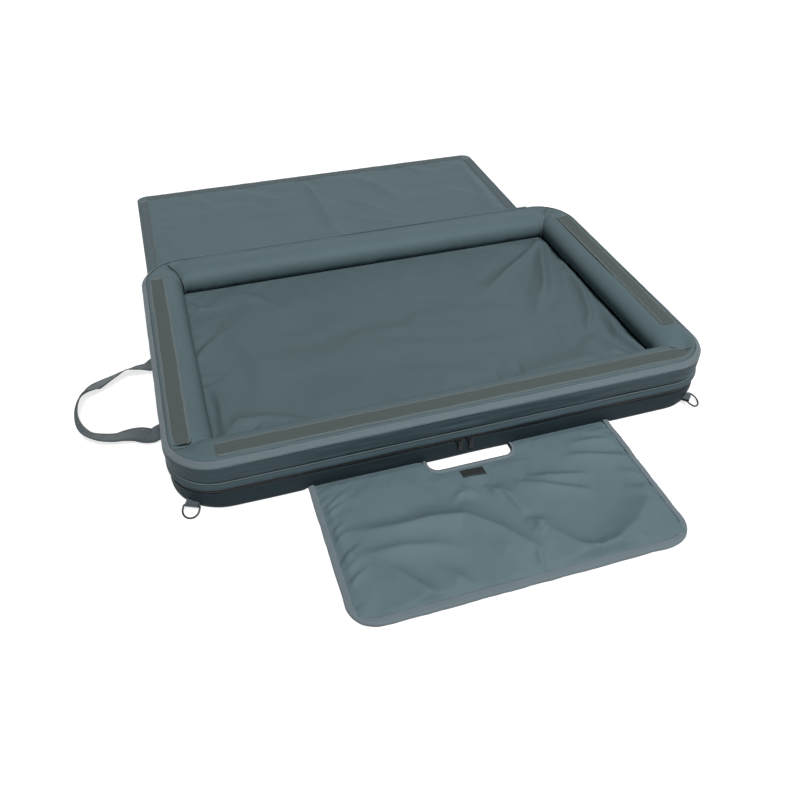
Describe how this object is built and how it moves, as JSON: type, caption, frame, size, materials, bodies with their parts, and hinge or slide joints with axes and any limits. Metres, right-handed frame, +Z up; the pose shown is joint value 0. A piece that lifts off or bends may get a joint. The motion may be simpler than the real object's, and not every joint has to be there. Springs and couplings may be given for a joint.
{
  "type": "unhooking mat",
  "caption": "Padded fishing mat with raised foam walls on a zipped foam base, rear cover that folds over the tray, bound kneeling flap, side handle and D-rings.",
  "frame": {"origin": "centre of the mat's underside, on the ground", "axes": "+X to the right along the mat's length, +Y to the rear where the cover lies, +Z up"},
  "size_m": [1.1631, 1.4958, 0.1066],
  "materials": {
    "base_fabric": "coated polyester, dark slate",
    "band_fabric": "coated polyester, slate",
    "wall_fabric": "coated polyester with a soft sheen, slate",
    "liner_fabric": "smooth wipe-clean coated cloth, slate",
    "cover_fabric": "coated polyester, slate",
    "binding_webbing": "woven binding tape, light slate",
    "loop_tape": "napped loop tape",
    "hook_tape": "hook tape",
    "strap_webbing": "woven polypropylene webbing",
    "zip_tape": "woven zip tape with moulded coil",
    "patch_cloth": "plain woven cloth",
    "foam": "grey closed-cell foam",
    "ring_metal": "black coated steel wire",
    "zip_metal": "black coated die casting",
    "pull_rubber": "matt black moulding"
  },
  "bodies": {
    "base": {"base_cover": "base_fabric", "base_foam": "foam", "lower_zip_tape": "zip_tape", "handle_anchor_front": "strap_webbing", "handle_anchor_rear": "strap_webbing", "ring_tab_left": "strap_webbing", "ring_tab_right": "strap_webbing"},
    "tray": {"upper_zip_tape": "zip_tape", "tray_side_band": "band_fabric", "seam_piping": "binding_webbing", "tray_underside": "base_fabric", "floor_foam": "foam", "floor_liner": "liner_fabric", "rear_wall_sleeve": "wall_fabric", "left_wall_sleeve": "wall_fabric", "front_wall_sleeve": "wall_fabric", "right_wall_sleeve": "wall_fabric", "rear_wall_foam": "foam", "left_wall_foam": "foam", "front_wall_foam": "foam", "right_wall_foam": "foam", "rim_binding": "binding_webbing", "front_loop_tape": "loop_tape", "left_loop_tape": "loop_tape", "right_loop_tape": "loop_tape"},
    "cover_drop": {"cover_drop": "cover_fabric"},
    "cover": {"cover_panel": "cover_fabric", "left_hook_tape": "hook_tape", "right_hook_tape": "hook_tape", "far_hook_tape": "hook_tape"},
    "kneeling_flap": {"kneel_underside": "base_fabric", "kneel_foam": "foam", "kneel_top": "cover_fabric", "kneel_binding": "binding_webbing", "hand_hole_binding": "binding_webbing", "blank_patch": "patch_cloth"},
    "handle": {"side_handle": "strap_webbing"},
    "ring_left": {"d_ring_left": "ring_metal"},
    "ring_right": {"d_ring_right": "ring_metal"},
    "slider_left": {"zip_slider_left": "zip_metal"},
    "slider_right": {"zip_slider_right": "zip_metal"},
    "pull_left": {"zip_pull_left": "pull_rubber"},
    "pull_right": {"zip_pull_right": "pull_rubber"}
  },
  "joints": [
    {"name": "tray_lift", "type": "slide", "parent": "base", "child": "tray", "axis": [0, 0, 1], "range_m": [0, 0.15]},
    {"name": "cover_fold", "type": "hinge", "parent": "tray", "child": "cover_drop", "pos_m": [-0.008, 0.3336, 0.109], "axis": [1, 0, 0], "range_deg": [0, 270]},
    {"name": "cover_bend", "type": "hinge", "parent": "cover_drop", "child": "cover", "pos_m": [-0.008, 0.3336, 0.0005], "axis": [1, 0, 0], "range_deg": [-90, 0]},
    {"name": "flap_fold", "type": "hinge", "parent": "base", "child": "kneeling_flap", "pos_m": [0.0015, -0.331, 0.008], "axis": [-1, 0, 0], "range_deg": [0, 78]},
    {"name": "handle_swing", "type": "hinge", "parent": "base", "child": "handle", "pos_m": [-0.5036, 0, 0.0119], "axis": [0, 1, 0], "range_deg": [0, 70]},
    {"name": "ring_left_swing", "type": "hinge", "parent": "base", "child": "ring_left", "pos_m": [-0.47397, -0.31832, 0.012], "axis": [-0.9063, 0.4226, 0], "range_deg": [0, 100]},
    {"name": "ring_right_swing", "type": "hinge", "parent": "base", "child": "ring_right", "pos_m": [0.46185, -0.32665, 0.012], "axis": [-0.7071, -0.7071, 0], "range_deg": [0, 100]},
    {"name": "left_slider_travel", "type": "slide", "parent": "base", "child": "slider_left", "axis": [-1, 0, 0], "range_m": [0, 0.38]},
    {"name": "right_slider_travel", "type": "slide", "parent": "base", "child": "slider_right", "axis": [1, 0, 0], "range_m": [0, 0.38]},
    {"name": "left_pull_swing", "type": "hinge", "parent": "slider_left", "child": "pull_left", "pos_m": [-0.01, -0.3362, 0.0393], "axis": [-1, 0, 0], "range_deg": [0, 120]},
    {"name": "right_pull_swing", "type": "hinge", "parent": "slider_right", "child": "pull_right", "pos_m": [0.01, -0.3362, 0.0393], "axis": [-1, 0, 0], "range_deg": [0, 120]}
  ],
  "couplings": [
    {"joint": "cover_bend", "follows": "cover_fold", "ratio": -0.33333}
  ]
}
